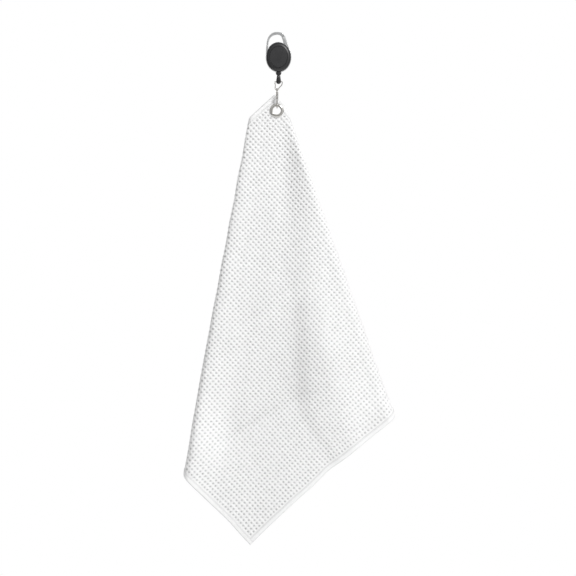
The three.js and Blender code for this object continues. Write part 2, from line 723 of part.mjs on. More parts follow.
const gate = new THREE.Group();
gate.add(
  part('carabiner_gate', carabinerGate(), M.castZinc),
  part('gate_spring', gateSpring(), M.springSteel),
);

const drumGroup = new THREE.Group();
drumGroup.add(
  part('spool', spool(), M.spoolPlastic),
  part('cord_winding', cordWinding(), M.cord),
);

const hanger = new THREE.Group();
hanger.add(
  part('cord_end', cordEnd(), M.blackGloss),
  part('cord_knot', cordKnot(), M.cord),
  part('swivel_ring', swivelRing(), M.nickel),
  part('swivel_eye', swivelEye(), M.nickel),
);

const hook = new THREE.Group();
hook.add(
  part('snap_hook', snapHook(), M.nickel),
  part('hook_gate', hookGate(), M.nickel),
  part('hook_gate_pin', hookGatePin(), M.steel),
  part('hook_spring', hookSpring(), M.springSteel),
);

const towel = new THREE.Group();
towel.add(
  part('grommet_eyelet', grommetEyelet(), M.nickel),
  part('grommet_washer', grommetWasher(), M.nickel),
  part('towel_cloth', towelCloth(), M.cloth),
  part('hem_top_left', hemStrip((t, w) => flat(t, w)), M.hem),
  part('hem_top_right', hemTopRight(), M.hem),
  part('hem_bottom_left', hemStrip((t, w) => flat(TOWEL_SIDE - w, t)), M.hem),
  part('hem_bottom_right', hemStrip((t, w) => flat(t, TOWEL_SIDE - w)), M.hem),
);

const assembly = new THREE.Group();
assembly.add(reel, gate, drumGroup, hanger, hook, towel);

export default assembly;
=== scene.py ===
# %% [markdown]
# # A waffle-weave golf towel on a retractable reel
#
# A golfer clips the carabiner to the bag and pulls the towel down to the club. A spring inside the oval
# reel winds the cord back. From the top: a flat die-cast frame with a spring gate, two moulded covers, a
# glossy cord end, a wire ring, a swivelling snap hook, a grommet, and a square towel that hangs by one
# corner with both of its sides folded behind it. The frame holds every hard piece at its real size, so
# the work here is the surface: the weave, the tape, the stitches, the plating and the mouldings.

# %% Load the frame
import math

import bpy
import numpy as np
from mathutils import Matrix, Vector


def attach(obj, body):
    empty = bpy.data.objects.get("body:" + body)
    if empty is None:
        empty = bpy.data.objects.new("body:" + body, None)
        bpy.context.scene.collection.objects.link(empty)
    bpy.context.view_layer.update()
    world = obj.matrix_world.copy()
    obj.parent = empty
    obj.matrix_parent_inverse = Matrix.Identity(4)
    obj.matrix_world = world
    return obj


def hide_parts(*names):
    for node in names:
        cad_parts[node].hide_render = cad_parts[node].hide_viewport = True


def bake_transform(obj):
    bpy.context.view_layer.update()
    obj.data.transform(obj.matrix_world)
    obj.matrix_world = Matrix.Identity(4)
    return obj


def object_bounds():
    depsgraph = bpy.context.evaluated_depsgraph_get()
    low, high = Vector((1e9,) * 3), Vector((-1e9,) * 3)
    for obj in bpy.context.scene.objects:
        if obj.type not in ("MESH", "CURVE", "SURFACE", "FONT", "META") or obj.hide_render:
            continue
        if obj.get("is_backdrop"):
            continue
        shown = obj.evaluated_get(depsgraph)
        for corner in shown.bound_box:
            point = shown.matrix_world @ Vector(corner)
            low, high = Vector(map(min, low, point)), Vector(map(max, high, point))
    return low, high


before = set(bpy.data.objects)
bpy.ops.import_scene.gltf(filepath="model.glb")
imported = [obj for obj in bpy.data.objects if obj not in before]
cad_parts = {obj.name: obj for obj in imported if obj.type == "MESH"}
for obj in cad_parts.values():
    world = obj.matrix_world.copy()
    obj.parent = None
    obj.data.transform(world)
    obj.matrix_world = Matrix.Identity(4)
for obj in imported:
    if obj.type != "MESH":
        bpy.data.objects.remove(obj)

cad_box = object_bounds()

# %% [markdown]
# ## Small tools
#
# Lengths below are millimetres, as on a drawing, and become metres when a mesh is made. Almost every
# piece here is a grid of points bent into shape, so one function makes the faces of a grid, closed on
# itself in either direction when asked. That keeps all surfaces in quads, which shade smoothly.

# %% Grids, turned profiles and swept tubes
MM = 0.001


def grid_quads(rows, columns, wrap_rows=False, wrap_columns=False):
    """Quads between neighbouring points of a grid that is numbered row by row."""
    number = np.arange(rows * columns).reshape(rows, columns)
    if wrap_rows:
        number = np.vstack([number, number[:1]])
    if wrap_columns:
        number = np.hstack([number, number[:, :1]])
    corners = [number[:-1, :-1], number[:-1, 1:], number[1:, 1:], number[1:, :-1]]
    return np.stack(corners, axis=-1).reshape(-1, 4)


def smoothstep(value):
    """0 below 0, 1 above 1, and an even S-curve between."""
    value = np.clip(value, 0, 1)
    return value * value * (3 - 2 * value)


def face_outward(points, quads):
    """The same quads, all turned over if together they enclose a negative volume."""
    a, b, c, d = (points[quads[:, i]] for i in range(4))
    volume = np.einsum("ij,ij", a, np.cross(b, c)) + np.einsum("ij,ij", a, np.cross(c, d))
    return quads[:, ::-1] if volume < 0 else quads


def make_piece(name, points, quads, material, slot, replaces=(), attribute=None):
    """A smooth closed mesh from points in millimetres. attribute is each point's place on the cloth and
    its share of painted shade.
    """
    quads = face_outward(points, quads)
    mesh = bpy.data.meshes.new(name)
    mesh.vertices.add(len(points))
    mesh.vertices.foreach_set("co", (points * MM).ravel())
    mesh.loops.add(quads.size)
    mesh.loops.foreach_set("vertex_index", quads.ravel().astype(np.int32))
    mesh.polygons.add(len(quads))
    mesh.polygons.foreach_set("loop_start", np.arange(0, quads.size, 4, dtype=np.int32))
    mesh.polygons.foreach_set("use_smooth", np.ones(len(quads), bool))
    if attribute is not None:
        layer = mesh.attributes.new("weave", "FLOAT_VECTOR", "POINT")
        layer.data.foreach_set("vector", attribute.astype(np.float32).ravel())
    mesh.update(calc_edges=True)
    mesh.materials.append(material)
    piece = bpy.data.objects.new(name, mesh)
    bpy.context.scene.collection.objects.link(piece)
    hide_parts(*replaces)
    print(f"{name}: {len(points)} points, {len(quads)} faces")
    return piece


# %% [markdown]
# ## Materials
#
# Each material starts from what the real one is. Colours are sRGB hex codes, which one function turns
# into the linear values that the shader wants. One helper adds a node with its settings and links, and
# every pattern's scale is worked out from a size in millimetres.

# %% Colour and node helpers
def linear(code):
    """An sRGB hex colour such as #F4F4F2 as linear red, green, blue and alpha."""
    parts = [int(code[i : i + 2], 16) / 255 for i in (1, 3, 5)]
    return [p / 12.92 if p <= 0.04045 else ((p + 0.055) / 1.055) ** 2.4 for p in parts] + [1.0]


def add_node(tree, kind, settings=None, inputs=None, family="ShaderNode"):
    """Adds a node. inputs maps a socket's name or number to a value, or to the output that feeds it."""
    node = tree.nodes.new(family + kind)
    for name, value in (settings or {}).items():
        setattr(node, name, value)
    for name, value in (inputs or {}).items():
        if isinstance(value, bpy.types.NodeSocket):
            tree.links.new(value, node.inputs[name])
        else:
            node.inputs[name].default_value = value
    return node


def start_material(name):
    """An empty node material."""
    material = bpy.data.materials.new(name)
    material.use_nodes = True
    material.node_tree.nodes.clear()
    return material, material.node_tree


def finish_material(tree, inputs):
    """The surface shader with these inputs, joined to the output."""
    surface = add_node(tree, "BsdfPrincipled", inputs=inputs)
    add_node(tree, "OutputMaterial", inputs={"Surface": surface.outputs["BSDF"]})


def per_metre(size_mm):
    """The texture scale at which one feature is this many millimetres wide."""
    return 1 / (size_mm * MM)


# %% [markdown]
# ### Plated, cast and drawn metals
#
# The carabiner is a zinc alloy die casting, tumbled and then plated to a satin silver. Tumbling leaves a
# very fine, even grain and slightly brighter edges. The ring, hook and grommet are steel and brass with
# bright nickel, which has a warmer tone and a tighter highlight. All of them are the same network with
# different numbers: a fine grain moves the roughness and the bump, and a wide, weak cloud of handling
# marks keeps the sheen from being even.

# %% Metals
def metal(name, colour, shade, roughness, grain_mm, grain_height_mm):
    """A metal with grain of one size, in two close tones."""
    material, tree = start_material(name)
    place = add_node(tree, "TexCoord").outputs["Object"]
    grain = add_node(tree, "TexNoise", inputs={
        "Vector": place, "Scale": per_metre(grain_mm), "Detail": 3.0, "Roughness": 0.6})
    marks = add_node(tree, "TexNoise", inputs={
        "Vector": place, "Scale": per_metre(6.0), "Detail": 4.0, "Roughness": 0.65})
    tone = add_node(tree, "MixRGB", inputs={
        "Fac": marks.outputs["Fac"], "Color1": linear(colour), "Color2": linear(shade)})
    gloss = add_node(tree, "MapRange", inputs={
        "Value": marks.outputs["Fac"], "From Min": 0.3, "From Max": 0.7,
        "To Min": roughness * 0.8, "To Max": roughness * 1.25})
    bump = add_node(tree, "Bump", inputs={
        "Height": grain.outputs["Fac"], "Distance": grain_height_mm * MM, "Strength": 0.6})
    finish_material(tree, {
        "Base Color": tone.outputs["Color"], "Metallic": 1.0,
        "Roughness": gloss.outputs["Result"], "Normal": bump.outputs["Normal"]})
    return material


METALS = {
    "cast_frame": metal("satin_plated_zinc_casting", "#DCDDDD", "#C9CACB", 0.27, 0.35, 0.009),
    "nickel": metal("bright_nickel_plating", "#CFCDC9", "#B6B4B0", 0.2, 0.5, 0.006),
    "steel": metal("turned_steel", "#C4C5C6", "#ABACAE", 0.3, 0.25, 0.01),
    "spring_steel": metal("tempered_spring_steel", "#8F949B", "#74797F", 0.34, 0.3, 0.008),
}
print("metals:", ", ".join(m.name for m in METALS.values()))

# %% [markdown]
# ### Moulded plastics
#
# The covers are black ABS from a spark-eroded mould, whose fine pits give a soft, wide highlight. The
# cord end and the outlet are acetal from a polished mould, so they are nearly as black but glossy. The
# hidden spool is natural acetal, a milky white.

# %% Plastics
def moulded(name, colour, shade, roughness, grain_mm, grain_height_mm):
    """A moulded plastic: two close tones and the mould's texture."""
    material, tree = start_material(name)
    place = add_node(tree, "TexCoord").outputs["Object"]
    cloud = add_node(tree, "TexNoise", inputs={
        "Vector": place, "Scale": per_metre(9.0), "Detail": 5.0, "Roughness": 0.7})
    grain = add_node(tree, "TexVoronoi", settings={"feature": "SMOOTH_F1"}, inputs={
        "Vector": place, "Scale": per_metre(grain_mm), "Smoothness": 0.6})
    tone = add_node(tree, "MixRGB", inputs={
        "Fac": cloud.outputs["Fac"], "Color1": linear(colour), "Color2": linear(shade)})
    gloss = add_node(tree, "MapRange", inputs={
        "Value": cloud.outputs["Fac"], "From Min": 0.3, "From Max": 0.7,
        "To Min": roughness * 0.88, "To Max": roughness * 1.15})
    bump = add_node(tree, "Bump", inputs={
        "Height": grain.outputs["Distance"], "Distance": grain_height_mm * MM, "Strength": 0.7})
    finish_material(tree, {
        "Base Color": tone.outputs["Color"], "IOR": 1.53,
        "Roughness": gloss.outputs["Result"], "Normal": bump.outputs["Normal"]})
    return material


PLASTICS = {
    "housing": moulded("textured_black_abs", "#131315", "#19191B", 0.4, 0.45, 0.03),
    "badge": moulded("matt_black_polycarbonate", "#18181A", "#1D1D1F", 0.46, 0.3, 0.012),
    "cord_end": moulded("polished_black_acetal", "#121213", "#19191B", 0.16, 0.8, 0.004),
    "spool": moulded("natural_acetal", "#D9D7D0", "#CFCDC5", 0.42, 0.6, 0.02),
}
print("plastics:", ", ".join(m.name for m in PLASTICS.values()))

# %% [markdown]
# ### Cloth, tape, thread and cord
#
# The towel is bleached cotton and polyester in a waffle weave: floating threads make the raised ridges,
# and a thin plain weave lies at the bottom of each pit. The pits are real geometry below. The material
# adds what is finer: the threads themselves, fibre fuzz, and painted shade on the floor of each pit,
# which greys the pits more than their geometry alone shades them. The mesh carries each point's place on
# the flat cloth, and its share of painted shade, in an attribute, so that the threads follow the weave
# round every fold.

# %% Fabric materials
def woven(name, colour, shade, painted_shade_colour, thread_mm, thread_height_mm, sheen, slanted=False):
    """Threads of one spacing along the cloth's own directions, with painted shade where the attribute's
    third value says so.
    """
    material, tree = start_material(name)
    weave = add_node(tree, "Attribute", {"attribute_name": "weave"}).outputs["Vector"]
    axes = add_node(tree, "SeparateXYZ", inputs={"Vector": weave})
    along, across, painted_shade = axes.outputs["X"], axes.outputs["Y"], axes.outputs["Z"]
    if slanted:
        across = add_node(tree, "Math", {"operation": "ADD"}, {0: along, 1: across}).outputs[0]
    waves = []
    for direction in (along, across):
        phase = add_node(tree, "Math", {"operation": "MULTIPLY"}, {
            0: direction, 1: 2 * math.pi / thread_mm})
        waves.append(add_node(tree, "Math", {"operation": "SINE"}, {0: phase.outputs[0]}).outputs[0])
    over_under = add_node(tree, "Math", {"operation": "MULTIPLY"}, {0: waves[0], 1: waves[1]})
    fuzz = add_node(tree, "TexNoise", inputs={
        "Vector": weave, "Scale": 1 / 0.9, "Detail": 4.0, "Roughness": 0.7})
    height = add_node(tree, "Math", {"operation": "MULTIPLY_ADD"}, {
        0: over_under.outputs[0], 1: 0.5, 2: fuzz.outputs["Fac"]})
    bump = add_node(tree, "Bump", inputs={
        "Height": height.outputs[0], "Distance": thread_height_mm * MM, "Strength": 1.0})
    cloud = add_node(tree, "TexNoise", inputs={
        "Vector": weave, "Scale": 1 / 14.0, "Detail": 5.0, "Roughness": 0.6})
    tone = add_node(tree, "MixRGB", inputs={
        "Fac": cloud.outputs["Fac"], "Color1": linear(colour), "Color2": linear(shade)})
    # Painted shade: the third colour, where the attribute's third value is high.
    tone_with_painted_shade = add_node(tree, "MixRGB", inputs={
        "Fac": painted_shade, "Color1": tone.outputs["Color"], "Color2": linear(painted_shade_colour)})
    finish_material(tree, {
        "Base Color": tone_with_painted_shade.outputs["Color"], "Roughness": 0.9, "Sheen Weight": sheen,
        "Sheen Roughness": 0.5, "Normal": bump.outputs["Normal"]})
    return material


# The third colour is painted shade for the towel's pits and the tape's edges; thread and cord take none
# of it.
FABRICS = {
    "cloth": woven("bleached_waffle_weave", "#FCFCFC", "#F7F7F7", "#C8C8C8", 0.62, 0.22, 0.15),
    "hem": woven("cotton_binding_tape", "#F4F4F4", "#EEEEEE", "#B2B2B2", 0.8, 0.16, 0.1, slanted=True),
    "thread": woven("polyester_sewing_thread", "#EDEDED", "#DCDCDC", "#D8D8D8", 0.5, 0.05, 0.2),
    "cord": woven("braided_black_nylon", "#1B1B1D", "#29292C", "#101011", 0.5, 0.06, 0.3),
}
print("fabrics:", ", ".join(m.name for m in FABRICS.values()))

# %% [markdown]
# ## How the towel hangs
#
# A square sheet that hangs by one corner falls into folds that spread from just above that corner. The
# sheet could be dropped by a cloth simulation, but where it would fold is then left to chance, and this
# towel folds at two known lines. So each point of the flat square is placed by a formula: straight rays
# from a fan point, two folds whose radius grows with the distance from the corner, and a low relief over
# all the layers. Lengths along the cloth stay nearly true: the hung sheet measures about three percent
# more than the flat one, which a loose weave gives easily.

# %% The towel's sizes and its two folds
TOWEL_SIDE = 405.5
TOWEL_TOP = np.array([-4.8, -76.7])
TOWEL_LEAN = math.radians(3.1)
FAN = np.array([-18.7, -12.1])
LEFT_FOLD = math.radians(-10.63)
RIGHT_FOLD = math.radians(19.45)
FOLD_START = 90  # how far from the fan point the folds begin to widen
FOLDS = (  # side, bearing, radius at the start, growth of the radius per millimetre
    (-1, LEFT_FOLD, 2.2, 0.011),
    (1, RIGHT_FOLD, 3.9, 0.022),
)
GROMMET = np.array([-1.7, -96.9])
GROMMET_LAND = 9.0  # the radius in which the grommet presses the cloth flat

DOWN = -math.pi / 2 - TOWEL_LEAN
LEFT_DOWN = np.array([math.cos(DOWN - math.pi / 4), math.sin(DOWN - math.pi / 4)])
RIGHT_DOWN = np.array([math.cos(DOWN + math.pi / 4), math.sin(DOWN + math.pi / 4)])


def flat_place(a, b):
    """x and z in the flat sheet's plane: a along the upper left hem, b along the upper right one."""
    return TOWEL_TOP + np.multiply.outer(a, LEFT_DOWN) + np.multiply.outer(b, RIGHT_DOWN)


def swell(x, z, centre, width):
    """A round swell: 1 at its centre, and almost 0 at twice its width."""
    return np.exp(-((np.hypot(x - centre[0], z - centre[1]) / width) ** 2))


def along_line(x, z, start, end):
    """Where points lie on the line from start to end, 0 to 1, and how far above it, in millimetres."""
    direction = np.subtract(end, start)
    length = np.hypot(*direction)
    unit = direction / length
    dx, dz = x - start[0], z - start[1]
    side = math.copysign(1, unit[0])
    return (dx * unit[0] + dz * unit[1]) / length, side * (dz * unit[0] - dx * unit[1])


# %% [markdown]
# ### The relief
#
# The front panel isn't flat. Behind the left fold's shoulder it falls back a little, then steps forward
# along a line that runs down from the grommet, and falls back again to the right fold. The ends of the
# folded side press through from behind: their hem leaves a slanting crease left of the step, and the
# panel kicks out at the right corner. All layers take the same relief, so they never meet.

# %% Shoulder, step, creases and corners
HEM_CREASE = ((24.0, -462.0), (-70.0, -519.0))
SOFT_RIDGE = ((-72.0, -398.0), (24.0, -327.0))
RIGHT_CORNER = (141.0, -485.0)
FOOT_CORNER = (-36.0, -649.0)

# How far each feature leans back (or stands forward, where its name says so), in millimetres.
SHOULDER, BEHIND_SHOULDER = 4.6, 3.0
LEFT_SIDE, RIGHT_SIDE = 8.5, 15
MIDDLE_FORWARD = 10.5
CREASE, CREASE_END = 8, 9
RIDGE_FORWARD, RIGHT_CORNER_FORWARD = 3.2, 11.0
FOOT = 5.0


def step_forward(x, down):
    """The step: a broad swell with a sharper fold on it, along a line that turns aside at the hem."""
    beyond = x - (14.5 + 0.0405 * down + 46 * smoothstep((down - 468) / 110))
    half = 14 - 3 * smoothstep((down - 290) / 130)
    sharp = (1.5 + 2.2 * smoothstep((down - 290) / 140)) * (1 - 0.4 * smoothstep((down - 460) / 70))
    reach = 14 + 12 * smoothstep((down - 120) / 200)
    broad = 9.5 * (1 - 0.92 * smoothstep((down - 395) / 80))
    rise = sharp * smoothstep((beyond + half) / (2 * half))
    return rise + broad * smoothstep((beyond + reach) / (2.3 * reach))


def hem_crease(x, down):
    """Where the hem behind presses through: deepest on its line, fading fast above and slowly below."""
    t, above = along_line(x, -down, *HEM_CREASE)
    reach = smoothstep((t + 0.35) / 0.45) * smoothstep((1.3 - t) / 0.5)
    below = 0.3 * np.exp(-((above / 9) ** 2)) + 0.7 * np.exp(np.minimum(above, 0) / 60)
    end = CREASE_END * t * np.exp(np.minimum(above, 0) / 18)
    return reach * (end + CREASE) * np.where(above > 0, np.exp(-np.maximum(above, 0) / 45), below)


def soft_ridge(x, down):
    """A low ridge across the left half."""
    t, above = along_line(x, -down, *SOFT_RIDGE)
    return smoothstep((t + 0.1) / 0.3) * smoothstep((1.1 - t) / 0.3) * np.exp(-((above / 13) ** 2))


def relief(angle, far):
    """How far back each point lies, in millimetres, by its bearing and distance from the fan point."""
    x, down = FAN[0] + far * np.sin(angle), far * np.cos(angle) - FAN[1]
    from_left, from_right = (angle - LEFT_FOLD) * far, (RIGHT_FOLD - angle) * far
    grow = np.clip((far - 105) / 340, 0, 1)
    early = np.clip((far - 65) / 90, 0, 1)
    back = early * SHOULDER * np.exp(-np.maximum(from_left, 0) / 13)
    back += early * BEHIND_SHOULDER * smoothstep(from_left / 26)
    back += grow * LEFT_SIDE * smoothstep((from_left - 4) / 46)
    back += grow * RIGHT_SIDE * smoothstep((66 - from_right) / 66)
    back -= grow * MIDDLE_FORWARD
    back -= early * step_forward(x, down)
    back += hem_crease(x, down)
    back -= RIDGE_FORWARD * soft_ridge(x, down)
    back -= RIGHT_CORNER_FORWARD * swell(x, -down, RIGHT_CORNER, 24)
    foot = np.hypot(x - FOOT_CORNER[0], down + FOOT_CORNER[1])
    back += FOOT * smoothstep(1 - foot / 75)
    back += grow * (np.sin(x / 23 + down / 61 + 0.6) + 0.8 * np.sin(down / 37 + x / 83 + 2.1))
    return back


def bias_stretch(x, down):
    """Where the weave gives on the bias, in millimetres along x and z: at the lower left corner, at the
    right corner, and in a short kink where the step reaches the lower right hem."""
    left = smoothstep((-30 - x) / 90) * smoothstep((down - 420) / 145)
    right = smoothstep((x - 60) / 60) * np.exp(-np.abs(down - 545 + 0.9 * (x - 78)) / 70)
    kink = np.exp(-(((x - 62) / 13) ** 2)) * np.exp(-np.abs(down - 560 + 0.9 * (x - 62)) / 40)
    drop = 10.5 * left + 5.0 * right + 3.5 * swell(x, -down, FOOT_CORNER, 45) - 1.2 * kink
    ripple_x, ripple_z = np.sin(down / 9.0) * np.sin(x / 31), np.sin(x / 8.0) * np.sin(down / 27)
    return 3.0 * swell(x, -down, RIGHT_CORNER, 26) + 0.35 * ripple_x, 0.35 * ripple_z - drop


def hang(places):
    """Where points of the flat sheet's plane hang: x, y and z in millimetres."""
    x, z = places[..., 0] - FAN[0], places[..., 1] - FAN[1]
    far = np.hypot(x, z)
    bearing = np.arctan2(x, -z)
    angle, depth = bearing.copy(), np.zeros_like(bearing)
    spread = np.maximum(0, far - FOLD_START)
    for side, fold, start, growth in FOLDS:
        radius = (start + growth * spread) / far
        past = side * (bearing - fold) + radius
        turn = np.clip(past / radius, 0, math.pi)
        straight = np.maximum(0, past - math.pi * radius)
        folded = past > 0
        bent = fold + side * (radius * np.sin(turn) - radius - straight)
        angle = np.where(folded, bent, angle)
        depth = np.where(folded, radius * (1 - np.cos(turn)), depth)
    back = depth * far + relief(angle, far)
    x, down = FAN[0] + far * np.sin(angle), far * np.cos(angle) - FAN[1]
    give_x, give_z = bias_stretch(x, down)
    return np.stack([x + give_x, back, -down + give_z], axis=-1)


def hang_off(places, off):
    """The same, moved by off along the sheet's own back-facing normal."""
    step = 0.4
    here = hang(places)
    along_x = hang(places + [step, 0]) - hang(places - [step, 0])
    along_z = hang(places + [0, step]) - hang(places - [0, step])
    normal = np.cross(along_x, along_z)
    normal /= np.linalg.norm(normal, axis=-1, keepdims=True)
    return here - normal * np.asarray(off)[..., None]


print("grommet hangs at", np.round(hang(GROMMET[None]), 1))

# %% [markdown]
# ## The waffle weave
#
# In a waffle weave the threads float over each other in steps, so both faces show a square lattice of
# raised ridges round sunken pits, and each pit of one face is a ridge crossing of the other. A
# displacement modifier could raise it, but only along points that happen to be there. Here the grid's
# own points are placed where the weave needs them: on each ridge and at both edges of the pit. The
# lattice has a 4.9 mm pitch and the pits are 1.15 mm deep. On each face the ribs one way stand a little
# lower than the ribs the other way, since only one set of threads floats on top.

# %% The woven panel
CELLS = 82
CLOTH_START = 2.0
PITCH = (TOWEL_SIDE - 2 * CLOTH_START) / CELLS
CELL_SAMPLES = (0.0, 0.2, 0.38, 0.62, 0.8)
HALF_THICK = 0.9
CROWN = 0.2
PIT_DEPTH = 1.15
LOW_RIB = 0.07  # how far down the lower ribs lie, as a share of the pit's depth
HEM_WIDTH = 6.2
HOLE_RADIUS = 6.4

steps = np.concatenate([cell + np.array(CELL_SAMPLES) for cell in range(CELLS)] + [[CELLS]])
LINES = CLOTH_START + steps * PITCH
phase = np.round(steps % 1, 3)


def pits(middle, half_floor):
    """1 on the floor of each pit, 0 on the ribs along b, and a little on the lower ribs along a."""
    from_middle = np.abs((phase - middle + 0.5) % 1 - 0.5)
    floor = from_middle < half_floor
    return np.outer(floor, np.where(floor, 1.0, LOW_RIB))


def crowns(middle):
    """The small rise where two ridges cross, and the sag half way along each."""
    wave = np.cos(2 * np.pi * (phase - middle))
    return 0.5 * (wave[:, None] + wave[None, :])


a, b = np.meshgrid(LINES, LINES, indexing="ij")
places = flat_place(a, b)
from_edge = np.minimum(np.minimum(a, b), TOWEL_SIDE - np.maximum(a, b))
from_grommet = np.hypot(*(np.moveaxis(places, -1, 0) - GROMMET[:, None, None]))
open_weave = smoothstep((from_edge - HEM_WIDTH - 0.2) / 2.0)
open_weave *= smoothstep((from_grommet - GROMMET_LAND) / 3.0)
flat_half = 0.5 + 0.2 * smoothstep((from_edge - 4.0) / 3.0)


def face_offset(pit, crown):
    """Half the cloth's thickness over one face: high on the ridges, low in the pits."""
    woven_half = HALF_THICK + CROWN * crown - PIT_DEPTH * pit
    return flat_half + (woven_half - flat_half) * open_weave


front_pits, back_pits = pits(0.5, 0.15), pits(0.0, 0.25).T
front = hang_off(places, -face_offset(front_pits, crowns(0.0)))
back = hang_off(places, face_offset(back_pits, crowns(0.5)))
size = len(LINES)
middle = hang(places)
edge_a, edge_b = np.diff(middle, axis=0)[:, :-1], np.diff(middle, axis=1)[:-1]
area = np.linalg.norm(np.cross(edge_a, edge_b), axis=-1).sum()
print(f"hung sheet: {area / (TOWEL_SIDE - 2 * CLOTH_START) ** 2:.3f} of its flat area")
quads = grid_quads(size, size)
corner_far = from_grommet.ravel()[quads].mean(axis=1)
kept = quads[corner_far > HOLE_RADIUS]
print(f"waffle: {CELLS} cells a side, {PITCH:.2f} mm apart, {len(kept)} quads a face")

# %% [markdown]
# The two faces are joined by a rim wherever a quad has no neighbour: round the outside, under the tape,
# and round the hole, under the grommet. A directed edge with no twin is exactly such a place.

# %% Join the faces into one closed sheet
edges = np.stack([kept, np.roll(kept, -1, axis=1)], axis=-1).reshape(-1, 2)
key = edges.min(axis=1) * size * size + edges.max(axis=1)
_, first, count = np.unique(key, return_index=True, return_counts=True)
border = edges[first[count == 1]]
back_start = size * size
rim = np.stack([border[:, 1], border[:, 0], border[:, 0] + back_start, border[:, 1] + back_start], axis=1)
sheet_faces = np.concatenate([kept, kept[:, ::-1] + back_start, rim])
sheet_points = np.concatenate([front.reshape(-1, 3), back.reshape(-1, 3)])
used, sheet_faces = np.unique(sheet_faces, return_inverse=True)
sheet_faces = sheet_faces.reshape(-1, 4)
# Each pit gets its own random share of the painted shade on its floor.
painted_shade_share = np.random.default_rng(7).uniform(0.5, 1.0, (2, CELLS + 1, CELLS + 1))
cell = np.floor(steps + 0.4).astype(int)
painted_shade = np.concatenate([(face * open_weave * each[np.ix_(cell, cell)]).ravel()
                       for face, each in zip((front_pits, back_pits), painted_shade_share)])
weave = np.stack([np.tile(a.ravel(), 2), np.tile(b.ravel(), 2), painted_shade], axis=-1)[used]
cloth = make_piece("waffle_cloth", sheet_points[used], sheet_faces, FABRICS["cloth"], "cloth",
                   ["towel_cloth"], weave)
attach(cloth, "towel")

# %% [markdown]
# ## The binding tape
#
# The raw edge of the weave is closed in a folded cotton tape. It is a channel, not a solid bar: its outer
# side rounds over the edge and the cloth goes in between its two leaves. The section is drawn once and
# swept along each edge of the square through the same hanging formula. At each corner one tape laps over
# the end of the next, as it does when the edges are bound one after the other.

# %% Tape section and strips
LEAF = 1.12
CLOTH_GAP = 0.56
FRONT_LEAF = [
    (HEM_WIDTH, -0.72), (6.05, -0.98), (5.6, -1.06), (4.9, -0.98), (4.2, -LEAF),
    (2.6, -1.18), (1.2, -LEAF), (0.45, -0.86), (0.08, -0.42),
]
OUTSIDE = np.array(FRONT_LEAF + [(0.0, 0.0)] + [(w, -off) for w, off in reversed(FRONT_LEAF)])
INSIDE = np.stack([np.maximum(OUTSIDE[:, 0], 0.95), np.clip(OUTSIDE[:, 1], -CLOTH_GAP, CLOTH_GAP)], 1)
SECTION = np.concatenate([OUTSIDE, INSIDE[::-1]])
# How much painted shade each point of the section takes: at its edges, where the tape turns away or steps
# down to the cloth, and in the groove along the row of stitches.
FRONT_SHADE = [0.9, 0.5, 0.0, 0.4, 0.0, 0.0, 0.0, 0.35, 0.8]
SHADE = np.array(FRONT_SHADE + [1.0] + FRONT_SHADE[::-1] + [1.0] * len(INSIDE))
STITCH_PITCH = 3.2
STITCH_LINE = 4.9
LAP = 3.6
LAP_REACH, LAP_HEIGHT = 11, 0.28

# Each tape: where it lies on the flat sheet, t along and w in from the edge, and which ends lap over.
TAPES = {
    "hem_top_left": (lambda t, w: (t, w), True, False),
    "hem_top_right": (lambda t, w: (w, t), False, False),
    "hem_bottom_left": (lambda t, w: (TOWEL_SIDE - w, t), True, True),
    "hem_bottom_right": (lambda t, w: (t, TOWEL_SIDE - w), True, False),
}


def sheet_point(place, t, w, off):
    """Hung points at t along a tape, w in from its edge and off the middle of the cloth."""
    a, b = place(t, w)
    spot = TOWEL_TOP + a[..., None] * LEFT_DOWN + b[..., None] * RIGHT_DOWN
    return hang_off(spot, off)


def lap_swell(t, laps_start, laps_end):
    """A lapping end stands higher, because it covers the end of the next tape."""
    height = np.ones_like(t)
    if laps_start:
        height += LAP_HEIGHT * smoothstep((LAP_REACH - t) / 5)
    if laps_end:
        height += LAP_HEIGHT * smoothstep((t - TOWEL_SIDE + LAP_REACH) / 5)
    return height


def tape_strip(name, place, laps_start, laps_end):
    """One folded tape along one edge of the towel."""
    first = 0.1 if laps_start else LAP
    last = TOWEL_SIDE - (0.1 if laps_end else LAP)
    t = np.linspace(first, last, int((last - first) / (STITCH_PITCH / 3)))
    t_all = np.repeat(t[:, None], len(SECTION), axis=1)
    w_all = SECTION[:, 0] + 0.12 * np.sin(t_all / 5.1) * (SECTION[:, 0] > 4)
    spot = np.stack(place(t_all, w_all), axis=-1) @ np.stack([LEFT_DOWN, RIGHT_DOWN]) + TOWEL_TOP
    press = smoothstep((np.hypot(*np.moveaxis(spot - GROMMET, -1, 0)) - GROMMET_LAND) / 1.5)
    pull = 0.04 * np.cos(2 * np.pi * t_all / STITCH_PITCH) + 0.05 * np.sin(t_all / 7.3)
    outer = np.arange(len(SECTION)) < len(OUTSIDE)
    off = SECTION[:, 1] * lap_swell(t_all, laps_start, laps_end) * (0.75 + 0.25 * press)
    off += np.where(outer, np.sign(SECTION[:, 1]), 0) * pull
    points = sheet_point(place, t_all, w_all, off)
    ring = len(SECTION)
    i = np.arange(len(OUTSIDE) - 1)
    cap = np.stack([i, i + 1, ring - 2 - i, ring - 1 - i], axis=-1)
    sides = grid_quads(len(t), ring, wrap_columns=True)
    quads = np.concatenate([sides, cap, cap[:, ::-1] + (len(t) - 1) * ring])
    weave = np.stack([t_all, w_all, SHADE + 0 * t_all], axis=-1).reshape(-1, 3)
    tape = make_piece(name + "_tape", points.reshape(-1, 3), quads, FABRICS["hem"], "hem", [name], weave)
    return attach(tape, "towel")


tapes = [tape_strip(name, *row) for name, row in TAPES.items()]

# %% [markdown]
# ## The stitches
#
# A lockstitch holds each tape, five stitches to every 16 mm, and shows on both faces. Each stitch is a
# short length of thread that dives into the tape at both ends. They could be a bump in the material,
# but the meshes should carry them too, so every stitch is a small capsule, made all at once as a grid.

